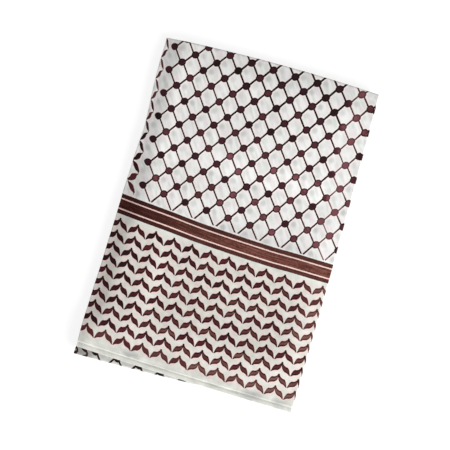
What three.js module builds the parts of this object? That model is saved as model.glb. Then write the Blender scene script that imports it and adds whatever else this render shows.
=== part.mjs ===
// A printed scarf, doubled lengthwise and then folded back and forth into five stretches.
// Millimetres. X runs across the folded scarf, Y along it towards the back fold, +Z is up.
import * as THREE from 'three';

// Cloth as it lies
const PLY = 1.0; // one layer with the air held in it
const STRETCH = 2 * PLY; // the panel is doubled, so a stretch is two layers
const GAP = 0.3; // between stretches, and at seams
const RISE = STRETCH + GAP; // from one hidden stretch to the next
const HIDDEN_STRETCHES = 3;
const HIDDEN_TOP = HIDDEN_STRETCHES * RISE - GAP;
const SLIT = 0.1; // half the opening between the two layers of a hidden stretch
const CREVICE = 4.0; // how deep the openings between layers reach
const CORNER = 2.0; // cut taken off each corner of the hidden layers
const HEM_DEPTH = 5.0; // width of the turned end hem
const THINNEST = 0.58; // least share of its full thickness that cloth settles to

// The outline seen from above. Sides give x from front to back, the rest y from left to right.
// bow is how far the middle stands off the straight line.
const EDGES = {
  left: { start: -120.3, end: -117.8, bow: 0 },
  right: { start: 118.2, end: 116.5, bow: 1.2 },
  secondLeft: { start: -121.2, end: -117.2, bow: 0 },
  secondRight: { start: 117.4, end: 116.0, bow: 0.8 },
  hem: { start: -169.8, end: -175.8, bow: -1.0 },
  topFold: { start: 172.1, end: 174.8, bow: 3.7 },
  secondFold: { start: -178.2, end: -168.8, bow: -1.9 },
  lowerFrontFold: { start: -173.5, end: -172.5, bow: -0.8 },
  lowerBack: { start: 169.5, end: 171.5, bow: 2.4 },
};
// The spans over which those run
const HALF_WIDTH = 120;
const HALF_LENGTH = 175;

// Soft ridges and hollows across the top: centre, half-sizes and rise of each
const SWELLS = [
  { x: 10, y: 52, halfX: 160, halfY: 30, rise: 1.0 }, // ridge across the field
  { x: 15, y: 6, halfX: 150, halfY: 24, rise: -0.6 }, // hollow above the stripes
  { x: -72, y: -95, halfX: 24, halfY: 85, rise: 0.7 }, // ridge beside the left edge
  { x: 45, y: -100, halfX: 60, halfY: 60, rise: -0.5 }, // hollow in the leaf rows
  { x: 40, y: 120, halfX: 50, halfY: 40, rise: 0.4 }, // swell below the top fold
];

// How far the top settles along each edge, and over what width
const SETTLING = [
  { side: 'left', drop: 1.5, width: 20 },
  { side: 'right', drop: 0.6, width: 12 },
  { side: 'hem', drop: 0.7, width: 16 },
  { side: 'topFold', drop: 0.6, width: 20 },
];

// Lips of the hidden layers: the side, the first and last layer each takes in, counted up
// from the table, and how far it is set in from that side's edge
const LIPS = [
  { side: 'left', first: 1, last: 1, inset: 2.2 },
  { side: 'left', first: 2, last: 2, inset: 1.0 },
  { side: 'left', first: 3, last: 3, inset: 1.8 },
  { side: 'left', first: 4, last: 4, inset: 0.6 },
  { side: 'left', first: 5, last: 5, inset: 1.3 },
  { side: 'left', first: 6, last: 6, inset: 0.3 },
  { side: 'right', first: 1, last: 2, inset: 1.6 },
  { side: 'right', first: 3, last: 4, inset: 0.5 },
  { side: 'right', first: 5, last: 6, inset: 1.2 },
  { side: 'front', first: 1, last: 4, inset: 0 },
  { side: 'back', first: 1, last: 1, inset: 3.0 },
  { side: 'back', first: 2, last: 2, inset: 1.5 },
  { side: 'back', first: 3, last: 6, inset: 0 },
];

// Where the cloth is measured: across it, along it, and round a fold
const COLUMNS = [0.03, 0.08, 0.14, 0.2, 0.26, 0.35, 0.45, 0.55, 0.65, 0.75, 0.85, 0.94];
const ROWS = 21;
const FOLD_STEPS = 6; // round the end fold
const EDGE_STEPS = 4; // round the lengthwise fold
const SIDE_STEPS = 4; // along each end of the hidden layers

// The left side of a doubled stretch: where its two hemmed edges part, and each edge
const LEFT_PARTING = { inset: 3.5, depth: 0.5 };
const LEFT_UPPER = [
  { inset: 0.4, depth: 0.44 },
  { inset: 0.0, depth: 0.22 },
  { inset: 0.5, depth: 0.0 },
];
const LEFT_LOWER = [
  { inset: 1.7, depth: 1.0 },
  { inset: 1.2, depth: 0.78 },
  { inset: 1.6, depth: 0.56 },
];

// The end hem, from where its two edges part, up, back and under: distance from the front,
// and depth
const HEM_SECTION = [
  { back: 3.6, depth: 0.5 },
  { back: 0.5, depth: 0.45 },
  { back: 0.0, depth: 0.25 },
  { back: 0.3, depth: 0.06 },
  { back: 1.2, depth: -0.06 },
  { back: 3.8, depth: -0.08 },
  { back: HEM_DEPTH, depth: 0.0 },
  { back: HEM_DEPTH, depth: 1.0 },
  { back: 2.0, depth: 1.0 },
  { back: 1.5, depth: 0.78 },
  { back: 2.0, depth: 0.55 },
];

// The hem's ends across the scarf: its side, how far in, and the share of its depth left
const HEM_ENDS = {
  left: [{ across: 0, inset: 0.2, share: 0.5 }, { across: 0, inset: 0.8, share: 1 }],
  right: [
    { across: 1, inset: 1.0, share: 1 },
    { across: 1, inset: 0.3, share: 0.7 },
    { across: 1, inset: 0.0, share: 0.2 },
  ],
};

const range = (first, last) => (
  Array.from({ length: Math.max(0, last - first + 1) }, (_, step) => first + step)
);
const between = (from, to, share) => from + (to - from) * share;
const edgeAt = ({ start, end, bow }, share) => (
  between(start, end, share) + bow * 4 * share * (1 - share)
);
const yEdge = (name, x) => edgeAt(EDGES[name], (x + HALF_WIDTH) / (2 * HALF_WIDTH));
const xEdge = (name, y) => edgeAt(EDGES[name], (y + HALF_LENGTH) / (2 * HALF_LENGTH));
const bell = (distance) => (
  Math.abs(distance) < 1 ? (1 + Math.cos(Math.PI * distance)) / 2 : 0
);

// How far a rounded lip draws back at a share of its height
const roundedBack = (height, share) => (
  (height / 2) * (1 - Math.sqrt(Math.max(0, 1 - (2 * share - 1) ** 2)))
);

function settled(x, y) {
  const inward = {
    left: x - xEdge('left', y),
    right: xEdge('right', y) - x,
    hem: y - yEdge('hem', x),
    topFold: yEdge('topFold', x) - y,
  };
  return SETTLING.reduce((sum, { side, drop, width }) => {
    const share = Math.min(1, Math.max(0, inward[side] / width));
    return sum + drop * (1 - share) ** 2;
  }, 0);
}

// Thickness of each of the upper two stretches, which carry the ridges and hollows
function thickness(x, y) {
  const raised = SWELLS.reduce((sum, swell) => {
    const across = bell((x - swell.x) / swell.halfX);
    const along = bell((y - swell.y) / swell.halfY);
    return sum + swell.rise * across * along;
  }, 0);
  const change = (raised - settled(x, y)) / (2 * STRETCH);
  return STRETCH * Math.max(THINNEST, 1 + change);
}

const secondBase = () => HIDDEN_TOP + GAP;
const topBase = (x, y) => secondBase() + thickness(x, y) + GAP;
const topFoldRadius = (x, y) => thickness(x, y) + GAP / 2;
const secondFoldRadius = (x, y) => (thickness(x, y) + GAP + STRETCH) / 2;

// Centre line of each fold, inside its outermost edge
function topFoldCentre(x) {
  const edge = yEdge('topFold', x);
  return edge - topFoldRadius(x, edge);
}
function secondFoldCentre(x) {
  const edge = yEdge('secondFold', x);
  return edge + secondFoldRadius(x, edge);
}

// Faces over a ring's end: a fan from its first point to the next few either way, then
// rungs between the points whose numbers add up to the given sum
function endFaces(count, { fan, sum }) {
  const spokes = [...range(1, fan), ...range(sum - fan, count - 1)];
  const faces = spokes.slice(1).map((spoke, index) => [0, spokes[index], spoke]);
  for (let near = fan; near + 1 <= sum - near - 1; near += 1) {
    const far = sum - near;
    if (near + 1 < far - 1) faces.push([near, near + 1, far - 1]);
    faces.push([near, far - 1, far]);
  }
  return faces;
}

// A closed solid through rings of points
function loft(rings, ending) {
  const count = rings[0].length;
  const faces = [];
  for (let ring = 0; ring + 1 < rings.length; ring += 1) {
    for (let step = 0; step < count; step += 1) {
      const here = ring * count + step;
      const next = ring * count + ((step + 1) % count);
      faces.push([here, next, next + count], [here, next + count, here + count]);
    }
  }
  const lastRing = (rings.length - 1) * count;
  endFaces(count, ending).forEach((face) => {
    faces.push([...face].reverse(), face.map((index) => index + lastRing));
  });

  const points = rings.flat();
  const volume = faces.reduce((sum, [a, b, c]) => (
    sum + points[a].dot(new THREE.Vector3().crossVectors(points[b], points[c]))
  ), 0);
  if (volume < 0) faces.forEach((face) => face.reverse());

  const geometry = new THREE.BufferGeometry().setFromPoints(points);
  geometry.setIndex(faces.flat());
  geometry.computeVertexNormals();
  return geometry;
}

// Points round a doubled stretch: hemmed edges at the left, a rounded fold at the right
function stretchSection() {
  const fold = range(0, EDGE_STEPS).map((step) => {
    const angle = (Math.PI * step) / EDGE_STEPS;
    return {
      across: 1,
      shift: -PLY * (1 - Math.sin(angle)),
      depth: (1 - Math.cos(angle)) / 2,
    };
  });
  const upper = COLUMNS.map((across) => ({ across, shift: 0, depth: 0 }));
  const lower = COLUMNS.map((across) => ({ across, shift: 0, depth: 1 })).reverse();
  const left = ({ inset, depth }) => ({ across: 0, shift: inset, depth });
  return [
    left(LEFT_PARTING),
    ...LEFT_UPPER.map(left),
    ...upper,
    ...fold,
    ...lower,
    ...LEFT_LOWER.map(left),
  ];
}

// One stretch of doubled cloth from its open end to its fold, and round the fold
function stretch({ leftEdge, rightEdge, openEnd, foldCentre, base, radius, outward }) {
  const stations = [
    ...range(0, ROWS).map((row) => ({ along: row / ROWS, turn: 0 })),
    ...range(1, FOLD_STEPS).map((step) => ({ along: 1, turn: (Math.PI * step) / FOLD_STEPS })),
  ];
  const section = stretchSection();
  const place = ({ along, turn }, { across, shift, depth }) => {
    const guess = between(openEnd(0), foldCentre(0), along);
    const left = xEdge(leftEdge, guess);
    const x = between(left, xEdge(rightEdge, guess), across) + shift;
    const y = between(openEnd(x), foldCentre(x), along);
    const thick = thickness(x, y);
    const bend = radius(x, y);
    const reach = bend - depth * thick;
    return new THREE.Vector3(
      x,
      y + outward * reach * Math.sin(turn),
      base(x, y) + thick - bend + reach * Math.cos(turn),
    );
  };
  const rings = stations.map((station) => section.map((spot) => place(station, spot)));
  return loft(rings, { fan: LEFT_UPPER.length + 1, sum: section.length });
}

function topStretch() {
  return stretch({
    leftEdge: 'left',
    rightEdge: 'right',
    openEnd: (x) => yEdge('hem', x) + HEM_DEPTH + GAP,
    foldCentre: topFoldCentre,
    base: topBase,
    radius: topFoldRadius,
    outward: 1,
  });
}

function secondStretch() {
  return stretch({
    leftEdge: 'secondLeft',
    rightEdge: 'secondRight',
    openEnd: (x) => topFoldCentre(x) - GAP,
    foldCentre: secondFoldCentre,
    base: secondBase,
    radius: secondFoldRadius,
    outward: -1,
  });
}

function endHem() {
  const stations = [
    ...HEM_ENDS.left,
    ...COLUMNS.map((across) => ({ across, inset: 0, share: 1 })),
    ...HEM_ENDS.right,
  ];
  const rings = stations.map(({ across, inset, share }) => {
    const y = yEdge('hem', 0);
    const inwards = across < 0.5 ? inset : -inset;
    const x = between(xEdge('left', y), xEdge('right', y), across) + inwards;
    return HEM_SECTION.map(({ back, depth }) => {
      const at = yEdge('hem', x) + back;
      const level = 0.5 + (0.5 - depth) * share;
      return new THREE.Vector3(x, at, topBase(x, at) + level * thickness(x, at));
    });
  });
  const count = HEM_SECTION.length;
  return loft(rings, { fan: (count - 1) / 2, sum: count });
}

// The stretches that don't show, as one solid whose edges open into layers
function hiddenLayers() {
  const layerLow = (layer) => {
    const upper = (layer - 1) % 2;
    return ((layer - 1 - upper) / 2) * RISE + upper * (PLY + SLIT);
  };
  const layerHigh = (layer) => layerLow(layer) + PLY - SLIT;
  const inset = (side, z) => {
    const lip = LIPS.find((row) => (
      row.side === side && z >= layerLow(row.first) && z <= layerHigh(row.last)
    ));
    if (!lip) return CREVICE;
    const low = layerLow(lip.first);
    const height = layerHigh(lip.last) - low;
    return lip.inset + roundedBack(height, (z - low) / height);
  };
  const heights = range(1, 2 * HIDDEN_STRETCHES).flatMap((layer) => {
    const low = layerLow(layer);
    const high = layerHigh(layer);
    const opening = layer > 1 ? [(layerHigh(layer - 1) + low) / 2] : [];
    return [...opening, low, (low + high) / 2, high];
  });
  const thirdLow = layerLow(2 * HIDDEN_STRETCHES - 1);
  const shares = range(0, SIDE_STEPS).map((step) => step / SIDE_STEPS);

  const ring = (z) => {
    const front = (x) => {
      if (z >= thirdLow) return secondFoldCentre(x) + GAP;
      return yEdge('lowerFrontFold', x) + inset('front', z);
    };
    const back = (x) => yEdge('lowerBack', x) - inset('back', z);
    const left = (y) => xEdge('left', y) + inset('left', z);
    const right = (y) => xEdge('right', y) - inset('right', z);
    const ends = { front: front(0), back: back(0) };
    const frontSide = shares.map((share) => {
      const x = between(left(ends.front) + CORNER, right(ends.front) - CORNER, share);
      return [x, front(x)];
    });
    const backSide = shares.map((share) => {
      const x = between(right(ends.back) - CORNER, left(ends.back) + CORNER, share);
      return [x, back(x)];
    });
    const corner = (side, y) => [side(y), y];
    const outline = [
      corner(left, frontSide[0][1] + CORNER),
      ...frontSide,
      corner(right, frontSide[SIDE_STEPS][1] + CORNER),
      corner(right, backSide[0][1] - CORNER),
      ...backSide,
      corner(left, backSide[SIDE_STEPS][1] - CORNER),
    ];
    return outline.map(([x, y]) => new THREE.Vector3(x, y, z));
  };
  const rings = heights.map(ring);
  return loft(rings, { fan: 0, sum: rings[0].length - 1 });
}

const PIECES = [
  { name: 'top_stretch', shape: topStretch, color: 0xebe8e3 },
  { name: 'end_hem', shape: endHem, color: 0xe6e2dc },
  { name: 'second_stretch', shape: secondStretch, color: 0xdcd8d2 },
  { name: 'hidden_layers', shape: hiddenLayers, color: 0xd6d1ca },
];

// The scarf stands on z = 0, with the middle of its outline over the origin
function centred(group) {
  const middle = new THREE.Box3().setFromObject(group).getCenter(new THREE.Vector3());
  group.children.forEach((mesh) => mesh.geometry.translate(-middle.x, -middle.y, 0));
  return group;
}

const scarf = new THREE.Group();
scarf.name = 'folded_scarf';
PIECES.forEach(({ name, shape, color }) => {
  const material = new THREE.MeshStandardMaterial({ name, color, roughness: 0.9 });
  const mesh = new THREE.Mesh(shape(), material);
  mesh.name = name;
  scarf.add(mesh);
});

export default centred(scarf);
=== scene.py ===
"""Looks of a printed scarf, doubled lengthwise and folded back and forth into five stretches.

Numbers are millimetres unless said, in the frame in which the part's source draws the scarf before
it is centred: X runs across the folded scarf, Y along it towards the back fold, +Z is up.
"""
from math import cos, pi, radians, sin
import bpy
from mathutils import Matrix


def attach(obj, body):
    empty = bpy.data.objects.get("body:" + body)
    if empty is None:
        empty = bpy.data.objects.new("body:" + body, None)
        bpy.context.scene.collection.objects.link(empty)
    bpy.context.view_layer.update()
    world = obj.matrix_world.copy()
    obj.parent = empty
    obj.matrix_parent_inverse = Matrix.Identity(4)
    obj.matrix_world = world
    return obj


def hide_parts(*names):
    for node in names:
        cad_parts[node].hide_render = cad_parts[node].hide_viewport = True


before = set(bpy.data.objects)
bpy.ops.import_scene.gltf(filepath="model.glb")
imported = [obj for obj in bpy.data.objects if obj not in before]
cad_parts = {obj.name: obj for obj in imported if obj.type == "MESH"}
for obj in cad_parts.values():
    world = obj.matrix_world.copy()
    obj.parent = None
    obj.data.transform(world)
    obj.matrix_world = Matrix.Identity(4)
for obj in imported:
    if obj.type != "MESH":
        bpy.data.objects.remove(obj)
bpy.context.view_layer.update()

from types import SimpleNamespace

import bpy
import numpy as np
from mathutils import Matrix, Vector

MM = 0.001
# From the frame in which the scarf is drawn to the part's own, with the origin in its middle
CENTRING = np.array([1.24, 0.48, 0.0])

# Cloth as it lies
WIDTH = 237.0  # across the doubled scarf
PLY = 1.0  # one layer with the air held in it
STRETCH = 2 * PLY
GAP = 0.3  # between two stretches
RISE = STRETCH + GAP
SECOND_BASE = 3 * RISE  # the second stretch lies on three hidden ones
EVEN_HEIGHT = 12.0  # of the whole stack
HEM_DEPTH = 5.0
THINNEST = 0.58  # least share of its thickness that a stretch keeps
CLOTH = 0.5  # the cloth itself
ROLLED = 0.42  # half the thickness of its narrow rolled side edges
ROLL = 2.4  # width of the rolled side edges
EDGE_ROUND = 0.4  # how far in from its side edges the cloth is rounded off
EDGE_WAVE, EDGE_WAVER = 70, 0.5  # length and strength of the side edges' waver

# The outline seen from above. Sides give x from front to back, the rest y from left to right.
EDGES = {  # start, end, bow in the middle
    "left": (-120.3, -117.8, 0.0),
    "right": (118.2, 116.5, 1.2),
    "secondLeft": (-121.2, -117.2, 0.0),
    "secondRight": (117.4, 116.0, 0.8),
    "hem": (-169.8, -175.8, -1.0),
    "topFold": (172.1, 174.8, 3.7),
    "secondFold": (-178.2, -168.8, -1.9),
    "lowerFrontFold": (-173.5, -172.5, -0.8),
    "lowerBack": (169.5, 171.5, 2.4),
}
HALF_WIDTH = 120.0
HALF_LENGTH = 175.0

SWELLS = [  # x, y, half-size across, half-size along, rise
    (10, 52, 160, 30, 1.0),
    (15, 6, 150, 24, -0.6),
    (-72, -95, 24, 85, 0.7),
    (45, -100, 60, 60, -0.5),
    (40, 120, 50, 40, 0.4),
]
# Edge, how far the cloth settles there, and how far in that reaches
SETTLING = [("left", 1.5, 20), ("right", 0.6, 12), ("hem", 0.7, 16), ("topFold", 0.6, 20)]

FIELD_START = 103.5  # place across the field of dots at x = 0
BORDER_AHEAD = 11.3  # how far the border's places across are ahead of it, on the lower stretches
# How the print lies on the top, for its field of dots and its leaf border. middle is a y. Then,
# across and along the cloth: the print's place there, what it gains over 100 mm the other way,
# its bow over 100 mm of x, its twist, and its bow over 100 mm of y.
PRINT_LIE = {
    "field": {
        "middle": 79.5,
        "across": (FIELD_START, 5.2, -0.6, -0.3, -0.7),
        "along": (-76.6, 4.6, -4.0, -1.3, -0.7),
    },
    "border": {
        "middle": -100.7,
        "across": (114.7, -1.15, -0.85, 2.25, 2.0),
        "along": (66.7, -4.4, 1.7, -0.8, -1.4),
    },
}
DRAWN_IN, DRAWN_IN_REACH = 6.0, 11  # how it is drawn in at the left edge behind the stripes

# The print. Places on it run across from the open edges to the right-hand fold and on round it.
DOT_PITCH = (24.2, 25.3)
LEAF_PITCH = (20.85, 12.95)
FOLD_COLUMN = 9  # the right-hand fold, in columns of dots
FIELD_FOLD = FOLD_COLUMN * DOT_PITCH[0]
BORDER_FOLD = 11.35 * LEAF_PITCH[0]
FIELD_END = -6.6  # where the stripes begin, in rows of dots
MIDDLE_ROW = 21.5  # the scarf's middle, in rows of dots
STRIPES_FROM, STRIPES_TO = -1.975, -0.32  # in rows of leaves


def between(start, end, share):
    return start + (end - start) * share


def edge_at(name, share):
    start, end, bow = EDGES[name]
    return between(start, end, share) + bow * 4 * share * (1 - share)


def y_edge(name, x):
    return edge_at(name, (x + HALF_WIDTH) / (2 * HALF_WIDTH))


def x_edge(name, y):
    return edge_at(name, (y + HALF_LENGTH) / (2 * HALF_LENGTH))


def bell(distance):
    """1 at no distance, falling to 0 at a distance of 1"""
    return np.where(np.abs(distance) < 1, (1 + np.cos(pi * distance)) / 2, 0)


def smooth(low, high, value):
    """0 at low, rising softly to 1 at high"""
    share = np.clip((value - low) / (high - low), 0, 1)
    return share * share * (3 - 2 * share)


def nearness(distance, reach):
    """1 at no distance, falling evenly to 0 at reach"""
    return np.clip(1 - distance / reach, 0, 1)


def inward(x, y):
    """How far in from the top's edges a point is"""
    return {
        "left": x - x_edge("left", y),
        "right": x_edge("right", y) - x,
        "hem": y - y_edge("hem", x),
        "topFold": y_edge("topFold", x) - y,
    }


def thickness(x, y):
    """Thickness of each of the upper two stretches, with its swells and thinner edges"""
    raised = sum(
        rise * bell((x - at_x) / half_x) * bell((y - at_y) / half_y)
        for at_x, at_y, half_x, half_y, rise in SWELLS
    )
    inside = inward(x, y)
    settled = sum(drop * nearness(inside[side], reach) ** 2 for side, drop, reach in SETTLING)
    return STRETCH * np.maximum(THINNEST, 1 + (raised - settled) / (2 * STRETCH))


def top_fold_centre(x):
    edge = y_edge("topFold", x)
    return edge - thickness(x, edge) - GAP / 2


def second_fold_centre(x):
    edge = y_edge("secondFold", x)
    return edge + (thickness(x, edge) + GAP + STRETCH) / 2


# ---------- creases and slopes

# Ridges and creases: from x, y to x, y; half-widths left and right of that way; height; bow
CREASES = [
    (-92, 47, 100, 44, 16, 20, -1.3, 1.5),
    (-84, 46, 90, 43, 3, 2.5, -0.3, 1.5),
    (-80, 76, 84, 71, 48, 13, 1.1, 0),
    (-20, 88, 56, 86, 40, 17, 0.9, 0),
    (-101, 172, -99, 36, 12, 6, 0.5, 0),
    (-80, 165, -78, 52, 20, 12, -0.7, 2),
    (-75, -18, -73, -100, 15, 30, 0.35, 0),
    (-102, -16, -103, -125, 14, 6, 0.8, 0),
    (-60, -88, 90, -92, 26, 32, -1.1, 0),
    (-96, -124, 104, -128, 36, 14, 1.3, 0),
    (-50, -18, -48, -115, 40, 12, -0.5, 0),
    (93, -26, 88, -150, 26, 75, 2.0, 0),
    (-64, 158, -24, 161, 9, 9, 0.2, 0),
    (-2, 160, 56, 158, 9, 9, 0.15, 0),
    (-92, 42, -91, 10, 16, 9, 0.8, 0),
    (-96, -14, 108, -24, 36, 14, 2.3, 0),
    (-8, -10, 112, -15, 7, 14, 1.3, 0),
    (90, 140, 88, 2, 4, 3, -0.25, 1),
    (-104, -157, -16, -159, 14, 10, -0.6, 0),
    (-4, -159, 108, -160, 14, 10, -1.0, 0),
    (-118, -170.5, 118, -175.5, 9, 5, 0.4, -1),
    (-72, -161, -54, -163, 3, 3, -1.2, 0),
    (-51, -166, -22, -167, 2, 2, -0.7, 0),
    (18, -168, 35, -169, 2, 2, -0.7, 0),
    (44, -170, 57, -170, 2, 2, -0.7, 0),
    (62, -167, 78, -167, 4, 3, -1.2, 0),
    (94, -167, 110, -167, 4, 3, -1.0, 0),
]
CREASE_END, CREASE_TAPER = 6, 0.2  # a crease fades out over this and this share of its length

# The stack slopes down to its edges: how far in that reaches, and the share of height lost there
LEFT_DROPS = [  # y, share lost at the left edge
    (-185, -0.1), (-160, -0.1), (-145, 0.0), (-126, 0.27), (-30, 0.33), (8, 0.43), (38, 0.42),
    (56, 0.33), (185, 0.34),
]
LEFT_SLOPE, BACK_SLOPE = (-3, 27), (-3, 32)
BACK_LOSS, BACK_MORE, BACK_MIDDLE = 0.22, 0.12, 125  # more is lost about its middle
FRONT_SLOPE, FRONT_LOSS = 46, 0.03
RIGHT_SLOPE, RIGHT_LOSS, RIGHT_MORE = 34, 0.03, 0.01  # more behind the stripes
BULGE_WIDTH, BULGE, BULGE_MORE = 9, 0.045, 0.02  # the right-hand fold itself is plump

LEFT_INSETS = [  # y, how far all the layers are drawn in at the left
    (-110, 0.0), (-85, 0.2), (-45, 0.8), (-10, 1.0), (7, 1.3), (39, 1.6), (55, 2.2), (71, 3.2),
    (87, 3.2), (106, 2.1), (127, 1.1), (150, 0.1), (160, 0.0),
]


def left_edge(y, name="left"):
    return x_edge(name, y) + np.interp(y, *zip(*LEFT_INSETS))


def relief(x, y):
    """How far the stack stands off its even form"""
    height = 0 * x
    for x0, y0, x1, y1, wide_left, wide_right, rise, bow in CREASES:
        run = np.hypot(x1 - x0, y1 - y0)
        along = ((x - x0) * (x1 - x0) + (y - y0) * (y1 - y0)) / run**2
        off = ((y - y0) * (x1 - x0) - (x - x0) * (y1 - y0)) / run
        off = off - bow * 4 * along * (1 - along)
        off = off / np.where(off > 0, wide_left, wide_right)
        ends = CREASE_END + CREASE_TAPER * run
        fade = smooth(-ends / 2, ends / 2, along * run)
        fade = fade * smooth(-ends / 2, ends / 2, (1 - along) * run)
        height = height + rise * np.exp(-(off**2)) * fade
    return height


def squeezed(x, y):
    """Share of the even height that the stack keeps"""
    inside, behind = inward(x, y), smooth(-40, 0, y)
    back_loss = BACK_LOSS + BACK_MORE * bell(x / BACK_MIDDLE)
    lost = (
        np.interp(y, *zip(*LEFT_DROPS)) * (1 - smooth(*LEFT_SLOPE, x - left_edge(y)))
        + (RIGHT_LOSS + RIGHT_MORE * behind) * nearness(inside["right"], RIGHT_SLOPE) ** 2
        - (BULGE + BULGE_MORE * behind) * nearness(inside["right"], BULGE_WIDTH) ** 2
        + FRONT_LOSS * nearness(inside["hem"], FRONT_SLOPE) ** 2
        + back_loss * (1 - smooth(*BACK_SLOPE, inside["topFold"]))
    )
    return 1 - lost + relief(x, y) / EVEN_HEIGHT


def ripple(x, y, seed, longest, height):
    """A gentle unevenness, the same each time"""
    rng = np.random.default_rng(seed)
    octaves, waves = 3, 5
    total = 0 * x
    for octave in range(octaves):
        for _ in range(waves):
            heading, phase = rng.uniform(0, 2 * pi, 2)
            length = longest * rng.uniform(0.7, 1.3) / 2**octave
            wave = np.sin(2 * pi * (x * cos(heading) + y * sin(heading)) / length + phase)
            total = total + wave * height / waves / 2**octave
    return total


# ---------- where the print lies


def lie(part, x, y):
    """Where a point of the top is on the flat print, across and along it"""
    shape = PRINT_LIE[part]
    onward = y - shape["middle"]
    x_100, y_100 = x / 100, onward / 100

    def bowed(values, lead, other):
        start, gain, bow, twist, curl = values
        plane = start + lead + gain * other
        return plane + bow * x_100**2 + twist * x_100 * y_100 + curl * y_100**2

    drawn_in = nearness(x - left_edge(y), DRAWN_IN_REACH) ** 2 * smooth(20, 85, y)
    across = bowed(shape["across"], x, y_100) - DRAWN_IN * drawn_in
    return across, bowed(shape["along"], onward if part == "field" else -onward, x_100)


# ---------- meshes


def put_in_scene(name, data):
    made = bpy.data.objects.new(name, data)
    bpy.context.scene.collection.objects.link(made)
    return made


def smooth_mesh(name, points, faces):
    mesh = bpy.data.meshes.new(name)
    mesh.from_pydata(((points + CENTRING) * MM).tolist(), [], faces)
    mesh.polygons.foreach_set("use_smooth", [True] * len(mesh.polygons))
    return mesh


def closed_skin(name, middle, half, maps):
    """A thin closed mesh, half its thickness either way from a grid of points"""
    rows, columns = middle.shape[:2]
    down = np.gradient(middle, axis=0)
    over = np.gradient(middle, axis=1)
    normal = np.cross(over, down)
    normal /= np.linalg.norm(normal, axis=2, keepdims=True)
    outer = (middle + normal * half[..., None]).reshape(-1, 3)
    inner = (middle - normal * half[..., None]).reshape(-1, 3)
    number = np.arange(rows * columns).reshape(rows, columns)
    below = number + rows * columns

    def quads(*corners):
        return np.stack([corner.ravel() for corner in corners], 1)

    faces = [
        quads(number[:-1, :-1], number[:-1, 1:], number[1:, 1:], number[1:, :-1]),
        quads(below[:-1, :-1], below[1:, :-1], below[1:, 1:], below[:-1, 1:]),
        quads(number[0, :-1], below[0, :-1], below[0, 1:], number[0, 1:]),
        quads(number[-1, :-1], number[-1, 1:], below[-1, 1:], below[-1, :-1]),
        quads(number[:-1, 0], number[1:, 0], below[1:, 0], below[:-1, 0]),
        quads(number[:-1, -1], below[:-1, -1], below[1:, -1], number[1:, -1]),
    ]
    mesh = smooth_mesh(name, np.concatenate([outer, inner]), np.concatenate(faces).tolist())
    corners = np.empty(len(mesh.loops), int)
    mesh.loops.foreach_get("vertex_index", corners)
    for layer, (across, along) in maps.items():
        flat = np.stack([across.ravel(), along.ravel()], 1) * MM
        flat = np.concatenate([flat, flat])[corners]
        mesh.uv_layers.new(name=layer).data.foreach_set("uv", flat.ravel())
    mesh.update()
    return put_in_scene(name, mesh)


EDGE_PLACES = np.array([0, 0.12, 0.35, 0.8, 1.6, 2.4, 3.0, 4.0])  # from the side edge
FOLD_STEPS = 10


def across_stations(upper_step, lower_step):
    """Round a doubled stretch from its upper left edge: place from left to fold, turn round it"""
    start = EDGE_PLACES / WIDTH
    upper = np.linspace(start[-1], 1, int(round(WIDTH / upper_step)) + 1)[1:]
    lower = np.linspace(1, start[-1], int(round(WIDTH / lower_step)) + 1)
    turn = np.linspace(0, pi, FOLD_STEPS + 1)[1:-1]
    place = np.concatenate([start, upper, np.ones_like(turn), lower, start[:-1][::-1]])
    round_fold = np.concatenate([0 * start, 0 * upper, turn, 0 * lower + pi, 0 * start[:-1] + pi])
    return place[None, :], round_fold[None, :]


def edge_half(from_edge):
    """Half the cloth's thickness near its rolled side edges"""
    half = CLOTH / 2 + (ROLLED - CLOTH / 2) * smooth(ROLL + 0.5, ROLL - 0.4, from_edge)
    return half * np.sqrt(np.clip(1 - nearness(from_edge, EDGE_ROUND) ** 2, 0.12, 1))


def ply_points(spec, place, round_fold, guess, y_at, turn, half, stand=0.0):
    """Points in the middle of the cloth. stand is how far they lie off it, outwards.

    guess is about the y of each point, and y_at gives it for an x. turn is how far round the
    stretch's fold it is. Also returned: x and y before that turn, and the fold's radius there.
    """
    lower_share = round_fold / pi
    left = spec["left"](guess) + between(*spec["insets"], lower_share)
    waver = ripple(guess, 40 + 9 * lower_share, spec["seed"], EDGE_WAVE, EDGE_WAVER)
    left = left + waver * (1 - place)
    right = spec["right"](guess)
    thick = spec["thick"](between(left, right, place), guess)
    x = between(left, right - thick / 2, place)
    y = y_at(x)
    thick = spec["thick"](x, y)
    middle_depth = between(half - stand, thick - half + stand, (1 - np.cos(round_fold)) / 2)
    x = x + np.where(round_fold > 0, (thick / 2 - half + stand) * np.sin(round_fold), 0)

    bend = spec["radius"](x, y)
    reach = bend - middle_depth + spec["relief"](x, y) * (1 - lower_share)
    points_y = y + spec["outward"] * reach * np.sin(turn)
    height = spec["base"](x, y) + thick - bend + reach * np.cos(turn)
    height = half + (height - half) * squeezed(x, points_y)
    points = np.stack([x + 0 * turn, points_y, height], -1)
    return points, x, y, bend


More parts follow.
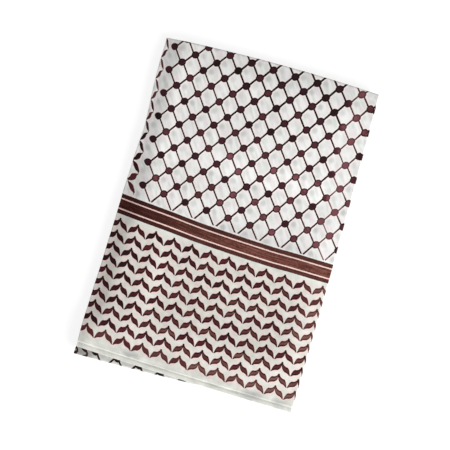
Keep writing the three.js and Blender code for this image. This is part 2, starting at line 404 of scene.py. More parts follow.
def doubled_stretch(name, spec):
    """A stretch of doubled cloth from its open end to its fold and round it"""
    upper_step, lower_step, row_step = spec["steps"]
    place, round_fold = across_stations(upper_step, lower_step)
    start, end, loop_steps = spec["open"](0.0), spec["fold"](0.0), spec["loop_steps"]
    flat_rows = int(round(abs(end - start) / row_step))
    along = np.concatenate([np.linspace(0, 1, flat_rows + 1), np.ones(loop_steps)])[:, None]
    loop = np.linspace(0, pi, loop_steps + 1)[1:]
    turn = np.concatenate([np.zeros(flat_rows + 1), loop])[:, None]
    guess = between(start, end, along)
    half = edge_half(place * WIDTH) + 0 * along

    def y_at(x):
        return between(spec["open"](x), spec["fold"](x), along)

    points, x, y, bend = ply_points(spec, place, round_fold, guess, y_at, turn, half)
    maps = spec["print"](x, y, along, bend * turn, round_fold / pi)
    return closed_skin(name, points, half, maps)


HEM_STITCH = 4.1  # from the hem's edge to its line of stitches
HEM_STAND = 0.23  # how far the hem's two legs stand off the cloth's middle
HEM_LEG = 0.19  # half a leg's thickness
HEM_EDGE = 0.45  # from the hem's edge to where its bend starts
HEM_LOWER = 0.19  # how much further inwards the hem lies on the lower layer
HEM_BEND_STEPS = 6
STITCH_PULL = 0.1  # how far the stitches draw each leg in


def hem_section():
    """The turned hem in section: how far back from its edge, and how far off the cloth's middle"""
    # Its outer leg starts inside the cloth and rises out of it, so that no slit shows
    starts, rises = [HEM_DEPTH + 0.7, HEM_DEPTH, HEM_DEPTH - 0.3], [-0.04, 0.08, 0.16]
    leg = [HEM_STITCH + 0.35, HEM_STITCH, HEM_STITCH - 0.35, 3.0, 2.2, 1.4, 0.8]
    inner_leg = [*leg[::-1], HEM_DEPTH - 0.1]
    turn = np.linspace(0, pi, HEM_BEND_STEPS + 1)
    back = np.array([*starts, *leg, *(HEM_EDGE - HEM_STAND * np.sin(turn)), *inner_leg])
    bend = HEM_STAND * np.cos(turn)
    off = np.array([*rises, *[HEM_STAND] * len(leg), *bend, *[-HEM_STAND] * len(inner_leg)])
    return back, off - np.sign(off) * STITCH_PULL * (np.abs(back - HEM_STITCH) < 0.01)


def turned_hem(name, spec):
    """The cloth's end, turned under once along both layers of a doubled stretch"""
    back, offset = (line[:, None] for line in hem_section())
    place, round_fold = across_stations(2.0, 6.0)
    offset = offset - HEM_LOWER * round_fold / pi
    ends = np.ones_like(back)
    ends[[0, -1]] = 0.4
    half = HEM_LEG * ends * np.clip(0.3 + place * WIDTH / 0.5, 0, 1)

    def y_at(x):
        return spec["end"](x, round_fold / pi) + spec["inward"] * back

    guess = y_at(0 * place)
    full_half = edge_half(place * WIDTH) + 0 * back
    points, x, y, _ = ply_points(spec, place, round_fold, guess, y_at, 0 * back, full_half, offset)
    maps = spec["print"](x, y, 0.0 if spec["inward"] > 0 else 1.0, 0 * x, round_fold / pi)
    return closed_skin(name, points, half, maps)


def both_layers(across, fold, lower_share):
    """A place across the print on the upper layer, or the one below it on the lower layer"""
    return between(across, 2 * fold - across, lower_share)


def top_print(x, y, along, loop_run, lower_share):
    """Places of the top's points on the print's field and on its border"""
    u, v = lie("field", x, y)
    field = (both_layers(u, FIELD_FOLD, lower_share), v + loop_run)
    u, v = lie("border", x, y)
    border = (both_layers(u, BORDER_FOLD, lower_share), v - loop_run)
    return {"field": field, "border": border}


def strip_print(first_row, last_row, lean=0.0):
    """The print on a stretch whose rows of dots run from first_row to last_row"""

    def place(x, y, along, loop_run, lower_share):
        u = x + FIELD_START + lean * along
        row = between(first_row(x), last_row(x), along)
        v = row * DOT_PITCH[1] + loop_run + 0 * x
        field = (both_layers(u, FIELD_FOLD, lower_share), v)
        nearest = MIDDLE_ROW - np.abs(MIDDLE_ROW - v / DOT_PITCH[1])
        past = (FIELD_END - nearest) * DOT_PITCH[1] + STRIPES_FROM * LEAF_PITCH[1]
        border = (both_layers(u + BORDER_AHEAD, BORDER_FOLD, lower_share), past)
        return {"field": field, "border": border}

    return place


def plain(value):
    return lambda *_: value


def along_x(name, shift):
    return lambda x: y_edge(name, x) + shift


def along_y(name, inset=0.0):
    return lambda y: x_edge(name, y) - inset


def top_left(y):
    """A little further in beside the dots and further out by the hem"""
    return left_edge(y) + 0.5 * bell((y - 35) / 110) - 0.7 * smooth(-70, -160, y)


def second_left(y):
    """Drawn in above the hem, so that only the front strip peeks out"""
    return left_edge(y, "secondLeft") + 0.9 * smooth(-172, -160, y) * smooth(40, -160, y)


FOLD_RUN = 0.27  # of cloth round the back fold, in rows of dots


def top_row_at_fold(x):
    return lie("field", x, y_edge("topFold", x))[1] / DOT_PITCH[1] + FOLD_RUN


def second_row_at_hem(x):
    """The second stretch's rows of dots run a little askew to the hem above them"""
    row_fourteen = -173.4 - 0.034 * x
    return 14 + (row_fourteen - second_fold_centre(x)) / DOT_PITCH[1]


# Each stretch runs from "open", where its cloth starts or comes round a fold, to its own "fold".
# "end" is the edge of its hem. "outward" and "inward" are the ways along y that its fold faces
# and that its hem is turned. "base" is the height of its underside, and "radius" its fold's.
# "insets" say how far in its upper and lower open edges lie. "steps" are its mesh's, across its
# upper and lower layer and along it.
OVERLAP = 0.05
LOWER_RADIUS = STRETCH + GAP / 2  # of a fold between two hidden stretches
LAST_SHORT = 1.5  # how far the last end stays inside the fold above it
COMMON = {"left": left_edge, "thick": plain(STRETCH), "relief": plain(0.0), "loop_steps": 12}
STRETCHES = {
    "cloth_top": {
        **COMMON,
        "left": top_left,
        "right": along_y("right"),
        "open": along_x("hem", HEM_DEPTH),
        "fold": top_fold_centre,
        "end": lambda x, lower_share: y_edge("hem", x) + 0.4 * lower_share,
        "inward": 1, "outward": 1,
        "thick": thickness,
        "base": lambda x, y: SECOND_BASE + thickness(x, y) + GAP,
        "radius": lambda x, y: thickness(x, y) + GAP / 2,
        "relief": lambda x, y: ripple(x, y, seed=5, longest=60, height=0.12),
        "print": top_print,
        "insets": (0.0, 1.2), "seed": 11, "steps": (2.0, 12.0, 2.0),
    },
    "cloth_second": {
        **COMMON,
        "left": second_left,
        "right": along_y("secondRight"),
        "open": lambda x: top_fold_centre(x) - OVERLAP,
        "fold": second_fold_centre,
        "outward": -1,
        "thick": thickness,
        "base": plain(SECOND_BASE),
        "radius": lambda x, y: (thickness(x, y) + GAP + STRETCH) / 2,
        "print": strip_print(top_row_at_fold, second_row_at_hem, -4.0),
        "insets": (0.3, 1.4), "seed": 12, "steps": (4.0, 8.0, 4.0),
    },
    "cloth_third": {
        **COMMON,
        "right": along_y("right", 1.2),
        "open": lambda x: second_fold_centre(x) + OVERLAP,
        "fold": along_x("lowerBack", -LOWER_RADIUS),
        "outward": 1,
        "base": plain(2 * RISE),
        "radius": plain(LOWER_RADIUS),
        "print": strip_print(plain(14.6), plain(28.3)),
        "insets": (0.3, 1.3), "seed": 13, "steps": (6.0, 8.0, 5.0),
    },
    "cloth_fourth": {
        **COMMON,
        "right": along_y("right", 0.5),
        "open": along_x("lowerBack", -LOWER_RADIUS - OVERLAP),
        "fold": along_x("lowerFrontFold", LOWER_RADIUS),
        "outward": -1,
        "base": plain(RISE),
        "radius": plain(LOWER_RADIUS),
        "print": strip_print(plain(28.55), plain(42.2)),
        "insets": (0.6, 1.8), "seed": 14, "steps": (8.0, 8.0, 5.0),
    },
    "cloth_fifth": {
        **COMMON,
        "right": along_y("right", 1.6),
        "open": along_x("lowerFrontFold", LOWER_RADIUS + OVERLAP),
        "fold": along_x("lowerBack", -LAST_SHORT - HEM_DEPTH),
        "end": lambda x, lower_share: y_edge("lowerBack", x) - LAST_SHORT * (1 + lower_share),
        "inward": -1, "outward": 1,
        "base": plain(0.0),
        "radius": plain(STRETCH),
        "print": strip_print(plain(42.45), plain(56.06)),
        "insets": (1.0, 2.2), "seed": 15, "steps": (8.0, 6.0, 5.0),
        "loop_steps": 0,
    },
}
sheets = {name: doubled_stretch(name, spec) for name, spec in STRETCHES.items()}
hems = {
    "hem_front": turned_hem("hem_front", STRETCHES["cloth_top"]),
    "hem_back": turned_hem("hem_back", STRETCHES["cloth_fifth"]),
}


# ---------- stitches

STITCH_PITCH, STITCH_LENGTH, THREAD_RADIUS = 2.7, 2.0, 0.16
STITCH_MARGIN = 3  # from the cloth's side edge and from its fold to the first and last stitch
STITCH_SLOPE = 0.06  # how askew a stitch may lie
THREAD_SIDES = 6
THREAD_RINGS = [(-1.0, 0.25), (-0.8, 0.8), (0.0, 1.0), (0.8, 0.8), (1.0, 0.25)]  # place, width


def stitch_points(middle, slope):
    """One short thread, ring by ring"""
    points = []
    for along, width in THREAD_RINGS:
        for side in range(THREAD_SIDES):
            angle = 2 * pi * side / THREAD_SIDES
            points.append((
                middle[0] + along * STITCH_LENGTH / 2,
                middle[1] + slope * along * STITCH_LENGTH + cos(angle) * THREAD_RADIUS * width,
                middle[2] + sin(angle) * THREAD_RADIUS * width,
            ))
    return points


def stitch_faces(first):
    """A thread's faces, where its points start at this number: round it and at both ends"""
    faces = []
    last = first + (len(THREAD_RINGS) - 1) * THREAD_SIDES
    for ring_start in range(first, last, THREAD_SIDES):
        for side in range(THREAD_SIDES):
            here = ring_start + side
            after = ring_start + (side + 1) % THREAD_SIDES
            faces.append((here, after, after + THREAD_SIDES, here + THREAD_SIDES))
    faces.append(tuple(range(first, first + THREAD_SIDES))[::-1])
    faces.append(tuple(range(last, last + THREAD_SIDES)))
    return faces


def stitches(name, spec, fold, stand):
    """A row of short threads along a hem, on the upper layer (fold 0) or the lower one (pi)"""
    rng = np.random.default_rng(21)
    points, faces = [], []

    def y_at(x):
        return spec["end"](x, fold / pi) + spec["inward"] * HEM_STITCH

    for number in range(int((WIDTH - 2 * STITCH_MARGIN) / STITCH_PITCH)):
        place = np.array([[(STITCH_MARGIN + number * STITCH_PITCH) / WIDTH]])
        slope = rng.uniform(-STITCH_SLOPE, STITCH_SLOPE)
        none = 0 * place
        middle = ply_points(
            spec, place, none + fold, y_at(none), y_at, none, edge_half(place * WIDTH), stand
        )[0][0, 0]
        faces += stitch_faces(len(points))
        points += stitch_points(middle, slope)
    return put_in_scene(name, smooth_mesh(name, np.array(points), faces))


threads = {
    "stitches_front": stitches("stitches_front", STRETCHES["cloth_top"], fold=0.0, stand=0.3),
    "stitches_back": stitches("stitches_back", STRETCHES["cloth_fifth"], fold=pi, stand=0.06),
}


# ---------- shader nodes


def linear(colour):
    """A colour written #rrggbb, as linear numbers"""
    parts = [int(colour[place:place + 2], 16) / 255 for place in (1, 3, 5)]
    return [part / 12.92 if part < 0.04045 else ((part + 0.055) / 1.055) ** 2.4 for part in parts]


def worked_out(operation):
    return lambda number, *others: number.nodes.maths(operation, number, *others)


class Number:
    """A number that varies over the cloth, worked out by shader nodes"""

    def __init__(self, nodes, socket):
        self.nodes, self.socket = nodes, socket

    def __rsub__(self, other):
        return self.nodes.maths("SUBTRACT", other, self)

    __add__ = __radd__ = worked_out("ADD")
    __sub__ = worked_out("SUBTRACT")
    __mul__ = __rmul__ = worked_out("MULTIPLY")
    __truediv__ = worked_out("DIVIDE")
    __gt__, __lt__ = worked_out("GREATER_THAN"), worked_out("LESS_THAN")
    __abs__, root = worked_out("ABSOLUTE"), worked_out("SQRT")
    rounded, floor = worked_out("ROUND"), worked_out("FLOOR")
    least, most = worked_out("MINIMUM"), worked_out("MAXIMUM")


class Shader:
    """Builds a material's nodes"""

    def __init__(self, name):
        self.material = bpy.data.materials.new(name)
        self.material.use_nodes = True
        self.tree = self.material.node_tree
        self.surface = self.tree.nodes["Principled BSDF"]

    def finished(self, inputs):
        """The material, once its surface has these inputs"""
        for name, value in inputs.items():
            self.plug(value, self.surface.inputs[name])
        return self.material

    def node(self, kind, **settings):
        made = self.tree.nodes.new("ShaderNode" + kind)
        for key, value in settings.items():
            setattr(made, key, value)
        return made

    def plug(self, value, socket):
        if isinstance(value, Number):
            value = value.socket
        if isinstance(value, bpy.types.NodeSocket):
            self.tree.links.new(value, socket)
        elif isinstance(value, str):
            socket.default_value = [*linear(value), 1]
        else:
            socket.default_value = value

    def fed(self, made, *values):
        """What a node gives for these inputs"""
        for value, socket in zip(values, made.inputs):
            self.plug(value, socket)
        return made.outputs[0]

    def maths(self, operation, *values):
        return Number(self, self.fed(self.node("Math", operation=operation), *values))

    def flat(self, layer):
        """Places on the flat print, in millimetres"""
        made = self.node("UVMap", uv_map=layer)
        split = self.node("SeparateXYZ")
        self.plug(made.outputs["UV"], split.inputs[0])
        return [Number(self, split.outputs[axis]) * 1000 for axis in "XY"]

    def together(self, x, y, z=0.0):
        return self.fed(self.node("CombineXYZ"), x, y, z)

    def ramp(self, value, low, high, start=0.0, end=1.0):
        """From start at low, softly to end at high"""
        made = self.node("MapRange", interpolation_type="SMOOTHSTEP")
        return Number(self, self.fed(made, value, low, high, start, end))

    def noise(self, place, scale, detail=2.0):
        """A cloudy number about 0.5"""
        made = self.node("TexNoise")
        made.inputs["Scale"].default_value = scale
        made.inputs["Detail"].default_value = detail
        return Number(self, self.fed(made, place))

    def chance(self, x, y, z=0.0):
        """A number from 0 to 1 for each motif"""
        made = self.node("TexWhiteNoise", noise_dimensions="3D")
        return Number(self, self.fed(made, self.together(x, y, z)))

    def drawn(self, value, reach, points, tallest=12.0):
        """A line drawn through a few points, given and returned in millimetres"""
        made = self.node("FloatCurve")
        curve = made.mapping.curves[0]
        while len(curve.points) < len(points):
            curve.points.new(0.5, 0.5)
        for point, (along, height) in zip(curve.points, points):
            point.location = (along / reach, height / tallest)
            point.handle_type = "AUTO"
        made.mapping.update()
        self.plug(value / reach, made.inputs["Value"])
        return Number(self, made.outputs[0]) * tallest

    def mix(self, share, first, second):
        made = self.node("Mix", data_type="RGBA")
        self.plug(share, made.inputs["Factor"])
        self.plug(first, made.inputs[6])
        self.plug(second, made.inputs[7])
        return made.outputs[2]

    def colours(self, value, stops):
        made = self.node("ValToRGB")
        ramp = made.color_ramp
        while len(ramp.elements) < len(stops):
            ramp.elements.new(0.5)
        for element, (place, colour) in zip(ramp.elements, stops):
            element.position = place
            element.color = [*linear(colour), 1]
        return self.fed(made, value)


# ---------- the print

# Where the print changes, and where painted shade and a painted highlight fall on it: places across
# (u) and along (v) the field, and rows of dots
BOLD_AND_SHADED_ROWS = (12.8, 13.2)  # from this row to the scarf's middle the print is bolder, and painted shade darkens it where it peeks out under the front hem
FRESH_U, FRESH_V = (40, 90), (-70, 0)  # inked more strongly towards the back and the right
FOLD_HIGHLIGHT_U, FOLD_HIGHLIGHT_HALF = 203, (14, 4)  # a painted highlight makes the print paler by the right-hand fold

# The second inks here are the inks' colours under the painted highlight by the right-hand fold
INK, HIGHLIGHT_INK, CHAIN_INK = "#140506", "#5c3b3e", "#2a0e12"
LEAF_INK, HIGHLIGHT_LEAF_INK = "#1c0708", "#5c3a38"
STRIPE_RIM, STRIPE_GAP = "#33100e", "#e9c5bc"
DOT_TONES = [
    (0.0, "#150506"), (0.3, "#310f19"), (0.6, "#451b28"), (0.8, "#55292c"), (1.0, "#78444c"),
]
LEAF_TONES = [
    (0.0, "#250607"), (0.25, "#3c1016"), (0.45, "#4e1a23"), (0.65, "#552827"), (0.85, "#613833"),
    (1.0, "#6f4a43"),
]
DARK_STRIPE = [(0.3, "#1f0503"), (0.5, "#39110d"), (0.7, "#52221c")]
LIGHT_STRIPE = [(0.3, "#4a231c"), (0.5, "#653930"), (0.7, "#7f5147")]

INK_EDGE = 0.12  # half the width over which the ink fades out at its outline
LINE_HALF = 0.86
LINES_SHORT = 0.16  # of the stripes, in rows of leaves
# Lines leave a dot right of its middle and meet the next one left of its middle
LINE_START, LINE_LEAN = 1.5, 3.4
DOT_RADIUS, DOT_SHEAR = 4.0, 0.42
TEAR_NARROW, TEAR_POINT = 0.9, 0.25
BARE_ROW = -6.4  # lines that cross past this row have no dot
FAR = 20  # too far off to count
GHOST_SHIFT = (0.42, 0.28)  # of the dots below, in the lattice's two counts

# Half a leaf pair: its upper and lower outline, out from the tip of the pair and down from it
LEAF_REACH = 10.5
LEAF_TOP = [
    (0, 0.0), (1.3, 0.9), (2.6, 2.3), (4.5, 3.3), (6.9, 3.9), (8.1, 5.3), (9.2, 7.8), (10.1, 10.8),
]
LEAF_FOOT = [
    (0, 2.2), (0.9, 5.3), (2.1, 6.9), (3.5, 8.0), (6.1, 8.8), (8.0, 9.7), (9.3, 10.8), (10.1, 10.9),
]
LEAF_SHEAR = 0.08
KNOB_RADIUS = 1.15  # of the small knob at a pair's tip
FIRST_LEAVES, LAST_LEAVES = -0.11, 9.89  # where the rows of leaves start and end

# The chain down the side: how far left of its right-hand tips its middle runs, and half its
# width, over one repeat down
CHAIN_PITCH = 0.9  # in rows of dots
CHAIN_TIP = -0.235  # where its first tip is, in rows of dots
CHAIN_LEFT = -7.55  # where its tips are, from the first column of dots
CHAIN_LINKS = 6.5  # links past this are left out
OUTER_CHAIN, OUTER_DOWN = 11.1, 0.04  # how far beyond it the outer chain runs, and how far down
OUTER_FROM = 9.6  # it is what lies this far left of the tips
CHAIN_MIDDLE = [
    (0, 0.5), (0.05, 2.7), (0.11, 4.1), (0.25, 5.0), (0.34, 6.4), (0.41, 8.2), (0.46, 9.3),
    (0.52, 7.6), (0.6, 5.6), (0.68, 4.6), (0.77, 3.1), (0.86, 1.7), (0.92, 0.3), (1, 0.3),
]
CHAIN_HALF = [
    (0, 0.3), (0.05, 1.6), (0.11, 2.0), (0.25, 2.2), (0.34, 2.1), (0.42, 1.5), (0.47, 0.0),
    (0.5, 0.5), (0.54, 1.6), (0.62, 2.0), (0.7, 2.0), (0.8, 1.8), (0.87, 1.3), (0.94, 0.1),
    (1, 0.1),
]

# Stripes, from the middle of the band: the wide one ends and the narrow ones start
WIDE_STRIPE, NARROW_STRIPE = 4.8, 6.2
STRIPES_HALF = (STRIPES_TO - STRIPES_FROM) * LEAF_PITCH[1] / 2

# Faint grey painted shade in the dents by the hem: across and down the border, half-sizes, share
HEM_DENT_SHADE = [(52, 130, 12, 5, 0.6), (186, 133, 13, 8, 0.45), (216, 134, 10, 8, 0.3)]


def places_on_print(nodes):
    """Where a point is on the flat print, and what varies slowly over it"""
    u, v = nodes.flat("field")
    border_u, border_v = nodes.flat("border")
    place = nodes.together(u, v)
    row = MIDDLE_ROW - abs(v / DOT_PITCH[1] - MIDDLE_ROW)
    column = FOLD_COLUMN - abs(u / DOT_PITCH[0] - FOLD_COLUMN)
    return SimpleNamespace(
        u=u, v=v, border_u=border_u, border_v=border_v, place=place, row=row, column=column,
        rising=column + row,
        falling=column - row,
        leaf_row=border_v / LEAF_PITCH[1],
        rough=(nodes.noise(place, 0.9, 1.0) - 0.5) * 0.5,
        mottled=nodes.noise(place, 0.35, 2.0) - 0.5,
        # Bolder print in the middle part that peeks out under the front hem, darkened there by
        # painted shade
        bolder_and_shaded=nodes.ramp(row, *BOLD_AND_SHADED_ROWS),
        fresh=nodes.ramp(v, *FRESH_V) * nodes.ramp(u, *FRESH_U),
        # A painted highlight by the right-hand fold pales the print there
        fold_highlight=nodes.ramp(abs(u - FOLD_HIGHLIGHT_U), *FOLD_HIGHLIGHT_HALF),
    )


def nearest_crossing(rising, falling):
    """The lattice's lines cross where these two slanting counts are whole numbers"""
    near = SimpleNamespace(rising=rising.rounded(), falling=falling.rounded())
    near.off_rising, near.off_falling = rising - near.rising, falling - near.falling
    near.x = (near.off_rising + near.off_falling) * (DOT_PITCH[0] / 2)
    near.y = (near.off_rising - near.off_falling) * (DOT_PITCH[1] / 2)
    near.bare = near.rising - near.falling < 2 * BARE_ROW
    return near


def lattice_lines(nodes, at, crossing):
    """The field's slanting lines"""
    start, lean = LINE_START / DOT_PITCH[0], LINE_LEAN / DOT_PITCH[0]
    leant_rising = at.rising + (at.falling - at.falling.floor()) * lean - start
    leant_falling = at.falling + (at.rising - at.rising.floor()) * lean - start
    past_end_rising = crossing.bare * (crossing.off_falling > 0)
    past_end_falling = crossing.bare * (crossing.off_rising < 0)
    to_rising = abs(leant_rising - leant_rising.rounded()) + past_end_rising
    to_falling = abs(leant_falling - leant_falling.rounded()) + past_end_falling
    slant = (1 / DOT_PITCH[0] ** 2 + 1 / DOT_PITCH[1] ** 2) ** 0.5
    distance = to_rising.least(to_falling) / slant
    uneven = (nodes.noise(at.place, 0.07, 2.0) - 0.5) * 0.5
    # The lines are thinner under the painted highlight by the right-hand fold
    thicker = uneven + at.bolder_and_shaded * 0.2 + at.fresh * 0.2 - at.fold_highlight * 0.2
    in_field = (at.leaf_row < STRIPES_FROM - LINES_SHORT) * (at.column > 0)
    inked = nodes.ramp(distance + at.rough - thicker, LINE_HALF + INK_EDGE, LINE_HALF - INK_EDGE)
    return SimpleNamespace(share=inked * in_field, distance=distance)


def lattice_dots(nodes, at, crossing):
    """A dot at each crossing, drawn out to a tear in the first column"""
    x, y = crossing.x, crossing.y
    first = abs(crossing.rising + crossing.falling) < 0.5
    distance = (x * x + y * y - x * y * DOT_SHEAR).root()
    narrow = x * TEAR_NARROW
    pointed = (narrow * narrow + y * y).root() * (1 - TEAR_POINT)
    pointed = pointed + (abs(narrow) + abs(y)) * TEAR_POINT
    distance = distance + (pointed - distance) * (first * (x < 0))
    distance = distance + FAR * crossing.bare + FAR * (crossing.rising + crossing.falling < -0.5)
    outline = distance + at.rough - at.fresh * 0.2
    return SimpleNamespace(
        first=first, distance=distance,
        share=nodes.ramp(outline, DOT_RADIUS + 0.15, DOT_RADIUS - 0.15),
        # In the middle part the dots are wholly dark, as painted shade under the front hem
        heart=nodes.ramp(distance, DOT_RADIUS - 0.6, DOT_RADIUS - 1.5) * (1 - at.bolder_and_shaded * 0.85),
    )


def ghost_dots(nodes, at):
    """Dots of the layer below, which show through a little"""
    below = nearest_crossing(at.rising - GHOST_SHIFT[0], at.falling - GHOST_SHIFT[1])
    distance = (below.x * below.x + below.y * below.y).root()
    clear = nodes.chance(below.rising, below.falling, 7.5) * 0.6 + 0.15
    return nodes.ramp(distance + at.rough * 2, 5.0, 1.0) * clear


def side_chain(nodes, at):
    """The chain of leaves down the side, and in the scarf's middle part a second one beyond it"""
    across = CHAIN_LEFT - at.column * DOT_PITCH[0]
    outer = (across > OUTER_FROM) * at.bolder_and_shaded
    down = (CHAIN_TIP - at.row) / CHAIN_PITCH - outer * OUTER_DOWN
    across = across - outer * OUTER_CHAIN
    link = down.floor()
    along = down - link
    middle = nodes.drawn(along, 1.0, CHAIN_MIDDLE)
    half = nodes.drawn(along, 1.0, CHAIN_HALF) * nodes.ramp(at.row, -3.5, -1.0, 1.15, 0.98)
    half = half * nodes.ramp(at.row, -4.5, -5.2, 1.0, 1.2)
    depth = (half - abs(across - middle)) * 0.85 + 0.25 + at.bolder_and_shaded * 0.6
    return SimpleNamespace(
        link=link, along=along, depth=depth,
        share=nodes.ramp(depth + at.rough, -INK_EDGE, INK_EDGE) * (link < CHAIN_LINKS),
        heart=nodes.ramp(depth, 0.4, 1.2),
    )


def leaf_pairs(nodes, at):
    """Rows of leaf pairs, each with a small knob at its tip"""
    number = (at.leaf_row - FIRST_LEAVES).floor()
    drop = (at.leaf_row - number) * LEAF_PITCH[1]
    column = at.border_u / LEAF_PITCH[0] - drop * (LEAF_SHEAR / LEAF_PITCH[0])
    near_column = column.rounded()
    side = column - near_column
    reach = abs(side) * LEAF_PITCH[0]
    top = nodes.drawn(reach, LEAF_REACH, LEAF_TOP)
    foot = nodes.drawn(reach, LEAF_REACH, LEAF_FOOT)
    depth = ((drop - top).least(foot - drop) * 0.8).least(10.0 - reach)
    knob_drop = drop + 0.15
    to_knob = (reach * reach + knob_drop * knob_drop).root()
    inked = (depth + 0.3 + at.rough).most(KNOB_RADIUS - to_knob)
    here = (at.leaf_row > FIRST_LEAVES) * (at.leaf_row < LAST_LEAVES)
    faded_tip = nodes.ramp(at.leaf_row, 7.7, 8.6) * 0.5
    return SimpleNamespace(
        number=number, column=near_column, right=side > 0, here=here, depth=depth,
        share=nodes.ramp(inked, -INK_EDGE, INK_EDGE) * here,
        heart=nodes.ramp(depth, 0.5, 1.4) * nodes.ramp(to_knob, 1.9, 3.2).most(faded_tip),
    )


def stripe_band(nodes, at):
    """One wide and two narrow stripes"""
    place = (at.leaf_row - STRIPES_FROM) * LEAF_PITCH[1] + at.rough * 1.5
    # They rise more than the leaves do towards both sides
    place = place + nodes.ramp(at.border_u, 95, 45) + nodes.ramp(at.border_u, 165, 200) * 0.8
    from_middle = abs(place - STRIPES_HALF)
    wide = nodes.ramp(from_middle, WIDE_STRIPE + 0.1, WIDE_STRIPE - 0.1)
    narrow = nodes.ramp(from_middle, NARROW_STRIPE - 0.1, NARROW_STRIPE + 0.1)
    narrow = narrow * nodes.ramp(from_middle, STRIPES_HALF + 0.1, STRIPES_HALF - 0.1)
    share = wide.most(narrow)
    in_band = nodes.ramp(from_middle, STRIPES_HALF, STRIPES_HALF - 0.2)
    return SimpleNamespace(from_middle=from_middle, share=share, gaps=in_band * (1 - share))


def dot_colour(nodes, at, crossing, dots, ink):
    """Each dot has its own tone, and they get browner towards the right and paler under the painted
    highlight by the right-hand fold
    """
    patch_x, patch_y = (at.u - 95) / 55, (at.v + 92) / 32
    tone = (
        nodes.chance(crossing.rising, crossing.falling, 1.5) * 0.75
        + nodes.ramp(at.u - at.v, -60, 360) * 0.3
        + at.mottled * 0.5
        - dots.first * nodes.ramp(at.v, -40, -60) * 0.3
        - at.fresh * 0.15
        + nodes.ramp(patch_x * patch_x + patch_y * patch_y, 1.0, 0.2) * 0.25
        + at.fold_highlight * 0.4
    )
    return nodes.mix(dots.heart, ink, nodes.colours(tone, DOT_TONES))


def leaf_colour(nodes, at, leaves):
    """Each leaf has its own tone, browner towards the right and in the last row, and paler under
    the painted highlight by the right-hand fold
    """
    # Painted highlight: the leaves by the right-hand fold are paler
    fold_highlight = nodes.ramp(at.border_u, 204, 220) * nodes.ramp(at.leaf_row, 7, 4)
    last_row = nodes.ramp(at.leaf_row, 8.4, 9.0)
    tone = (
        nodes.chance(leaves.column, leaves.number) * 0.5
        + at.mottled * 0.35
        + nodes.chance(leaves.column, leaves.number, leaves.right) * 0.2
        + nodes.ramp(at.border_u + at.border_v * 1.4, 60, 360) * 0.2
        + nodes.ramp(at.border_u, 20, 100) * 0.35
        - 0.23
        + last_row * 0.35
        + fold_highlight * 0.35
    )
    rim = nodes.mix(fold_highlight.most(last_row) * 0.4, LEAF_INK, HIGHLIGHT_LEAF_INK)
    return nodes.mix(leaves.heart, rim, nodes.colours(tone, LEAF_TONES))


def chain_colour(nodes, at, chain):
    """Each leaf of the chain has its own tone, darker in the last rows, and wholly dark in the
    middle part, as painted shade under the front hem
    """
    own = nodes.chance(chain.link, chain.along > 0.475, 3.5) * 0.8
    tone = nodes.colours(own - nodes.ramp(at.row, -4, -5) * 0.2, LEAF_TONES)
    return nodes.mix(chain.heart * (1 - at.bolder_and_shaded), CHAIN_INK, tone)


def stripe_colour(nodes, at, stripes):
    """Streaky brown, darker at the left and along the wide stripe's edges"""
    streak = nodes.noise(nodes.together(at.u * 0.05, at.v * 0.8), 1.0, 3.0) + at.mottled * 0.5
    dark, light = nodes.colours(streak, DARK_STRIPE), nodes.colours(streak, LIGHT_STRIPE)
    tone = nodes.mix(nodes.ramp(at.border_u, 5, 150), dark, light)
    return nodes.mix(nodes.ramp(stripes.from_middle, 3.5, 4.7) * 0.6, tone, STRIPE_RIM)


def field_ground(nodes, at):
    """Nearly white, streaked with faint tints, with the ghosts of the dots below"""
    slanting = nodes.together(at.u * 0.17 + at.v * 0.1, at.u * 0.02 - at.v * 0.035)
    streaked = nodes.noise(slanting, 1.0, 3.0)
    tinted = nodes.noise(nodes.together(at.u * 0.11 + 40, at.v * 0.11), 1.0, 2.0)
    tint = nodes.mix(nodes.ramp(tinted, 0.38, 0.62), "#d5dad3", "#e4dadd")
    ground = nodes.mix(nodes.ramp(streaked, 0.36, 0.62), tint, "#ebecea")
    return nodes.mix(ghost_dots(nodes, at), ground, "#b9bab8")


def cloth_ground(nodes, at, to_ink, in_border):
    """The cloth between the motifs. It is pinker right beside the ink."""
    clear = nodes.ramp(to_ink, 0.3, 2.6)
    cloudy = nodes.noise(at.place, 0.12, 3.0)
    open_border = nodes.colours(cloudy, [(0.3, "#c6c7bf"), (0.7, "#dadad3")])
    in_field = nodes.mix(clear, "#ede2df", field_ground(nodes, at))
    ground = nodes.mix(in_border, in_field, nodes.mix(clear, "#e5c5c1", open_border))
    # Painted shade: in the scarf's middle part, which peeks out under the front hem, the ground is
    # greyer, most of all beside the side edges
    ground = nodes.mix(at.bolder_and_shaded * 0.75, ground, "#a8a8a2")
    ground = nodes.mix(at.bolder_and_shaded * nodes.ramp(at.u, 4, -6) * 0.85, ground, "#868680")
    # Painted shade in the dents by the hem
    for at_u, at_v, wide, deep, share in HEM_DENT_SHADE:
        off_u, off_v = (at.border_u - at_u) / wide, (at.border_v - at_v) / deep
        dent_shade = nodes.ramp(off_u * off_u + off_v * off_v + (cloudy - 0.5) * 1.6, 1.0, 0.2) * share
        ground = nodes.mix(dent_shade, ground, "#a9aaa9")
    return ground


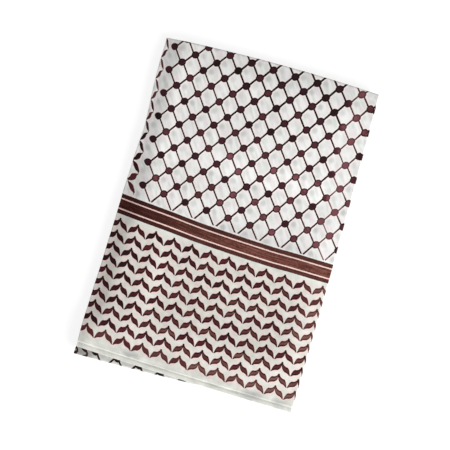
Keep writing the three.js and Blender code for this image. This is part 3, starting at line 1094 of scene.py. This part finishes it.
def printed(nodes):
    """The colour of the printed cloth"""
    at = places_on_print(nodes)
    crossing = nearest_crossing(at.rising, at.falling)
    lines, dots = lattice_lines(nodes, at, crossing), lattice_dots(nodes, at, crossing)
    chain, leaves, stripes = side_chain(nodes, at), leaf_pairs(nodes, at), stripe_band(nodes, at)

    to_ink = (lines.distance - LINE_HALF + 9 * (at.column < 0)).least(dots.distance - DOT_RADIUS)
    to_ink = to_ink.least(0 - chain.depth)
    in_border = at.leaf_row > STRIPES_FROM
    to_leaf = 3.0 - (leaves.depth + 3.0) * leaves.here
    to_ink = to_ink + (to_leaf - to_ink) * in_border
    colour = cloth_ground(nodes, at, to_ink, in_border)

    # Painted highlight: the ink is paler by the right-hand fold
    ink = nodes.mix(at.fold_highlight * 0.6, INK, HIGHLIGHT_INK)
    colour = nodes.mix(lines.share, colour, ink)
    colour = nodes.mix(chain.share, colour, chain_colour(nodes, at, chain))
    colour = nodes.mix(dots.share, colour, dot_colour(nodes, at, crossing, dots, ink))
    colour = nodes.mix(leaves.share, colour, leaf_colour(nodes, at, leaves))
    colour = nodes.mix(stripes.gaps, colour, STRIPE_GAP)
    return nodes.mix(stripes.share, colour, stripe_colour(nodes, at, stripes))


def woven(nodes):
    """The bumps of a plain weave with uneven threads"""
    u, v = nodes.flat("field")
    slubs = nodes.noise(nodes.together(u * 0.15, v * 3.2), 1.0)
    slubs = slubs + nodes.noise(nodes.together(u * 3.2, v * 0.15), 1.0)
    weave = nodes.maths("SINE", u * 12.0) * nodes.maths("SINE", v * 12.0)
    bump = nodes.node("Bump")
    bump.inputs["Strength"].default_value = 0.5
    bump.inputs["Distance"].default_value = 0.00012
    nodes.plug(slubs + weave * 0.35, bump.inputs["Height"])
    return bump.outputs[0]


def cloth_material():
    nodes = Shader("printed_cloth")
    return nodes.finished({
        "Base Color": printed(nodes), "Normal": woven(nodes), "Roughness": 0.9,
        "Specular IOR Level": 0.2, "Sheen Weight": 0.04,
    })


def thread_material():
    return Shader("hem_thread").finished({"Base Color": "#b4afa9", "Roughness": 0.8})


cloth, thread = cloth_material(), thread_material()
for piece in [*sheets.values(), *hems.values()]:
    piece.data.materials.append(cloth)
for piece in threads.values():
    piece.data.materials.append(thread)


# ---------- floor, light and camera, in metres

# The floor has an opening wholly under the scarf, so that the underside shows from below
FLOOR_REACH, OPENING_X, OPENING_Y, FLOOR_Z = 12, 0.110, 0.164, -0.00002
SQUARE = [(-1, -1), (1, -1), (1, 1), (-1, 1)]
WHITE = (1, 1, 1, 1)
ROOM_LIGHT = 0.45


def lay_floor():
    points = [(x * FLOOR_REACH, y * FLOOR_REACH, FLOOR_Z) for x, y in SQUARE]
    points += [(x * OPENING_X, y * OPENING_Y, FLOOR_Z) for x, y in SQUARE]
    faces = [(side, (side + 1) % 4, (side + 1) % 4 + 4, side + 4) for side in range(4)]
    mesh = bpy.data.meshes.new("floor")
    mesh.from_pydata(points, [], faces)
    mesh.materials.append(Shader("floor_paint").finished({
        "Base Color": (0.22, 0.22, 0.22, 1), "Roughness": 0.9,
        "Emission Color": WHITE, "Emission Strength": 0.82,
    }))
    return put_in_scene("floor", mesh)


floor = lay_floor()

world = bpy.data.worlds.new("soft_room")
bpy.context.scene.world = world
world.use_nodes = True
background = world.node_tree.nodes["Background"].inputs
background["Color"].default_value = WHITE
background["Strength"].default_value = ROOM_LIGHT

KEY_PLACE, KEY_SIZE, KEY_POWER = Vector((2.35, -1.53, 1.08)), 1.8, 172
key = bpy.data.lights.new("key_light", "AREA")
key.size = KEY_SIZE
key.energy = KEY_POWER
lamp = put_in_scene("key_light", key)
lamp.location = KEY_PLACE
lamp.rotation_euler = (-KEY_PLACE).to_track_quat("-Z", "Y").to_euler()

TURN = radians(15.8)  # the scarf lies turned in the view
VIEW_WIDTH = 0.477
VIEW_RIGHT, VIEW_UP = -0.00424, -0.00196  # how far the view's middle is off the scarf's
LENS, SENSOR = 100, 36  # mm


def view_from_above():
    """A camera that looks straight down"""
    data = bpy.data.cameras.new("camera")
    data.lens = LENS
    data.sensor_width = SENSOR
    camera = put_in_scene("camera", data)
    right = Vector((cos(TURN), sin(TURN), 0))
    up = Vector((-sin(TURN), cos(TURN), 0))
    aim = Vector((CENTRING[0], CENTRING[1], EVEN_HEIGHT)) * MM
    aim = aim + right * VIEW_RIGHT + up * VIEW_UP
    place = aim + Vector((0, 0, VIEW_WIDTH * LENS / SENSOR))
    turned = Matrix((right, up, (0, 0, 1))).transposed().to_4x4()
    camera.matrix_world = Matrix.Translation(place) @ turned
    return camera


bpy.context.scene.camera = view_from_above()
bpy.context.scene.view_settings.view_transform = "Standard"


# ---------- bodies, and hiding the parts that the pieces stand for

STANDS_FOR = {
    "cloth_top": "top_stretch", "hem_front": "end_hem", "cloth_second": "second_stretch",
    "cloth_third": "hidden_layers", "cloth_fourth": "hidden_layers",
    "cloth_fifth": "hidden_layers", "hem_back": "hidden_layers",
}
for piece in [*sheets.values(), *hems.values(), *threads.values()]:
    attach(piece, "root")
    if piece.name in STANDS_FOR:
        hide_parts(STANDS_FOR[piece.name])
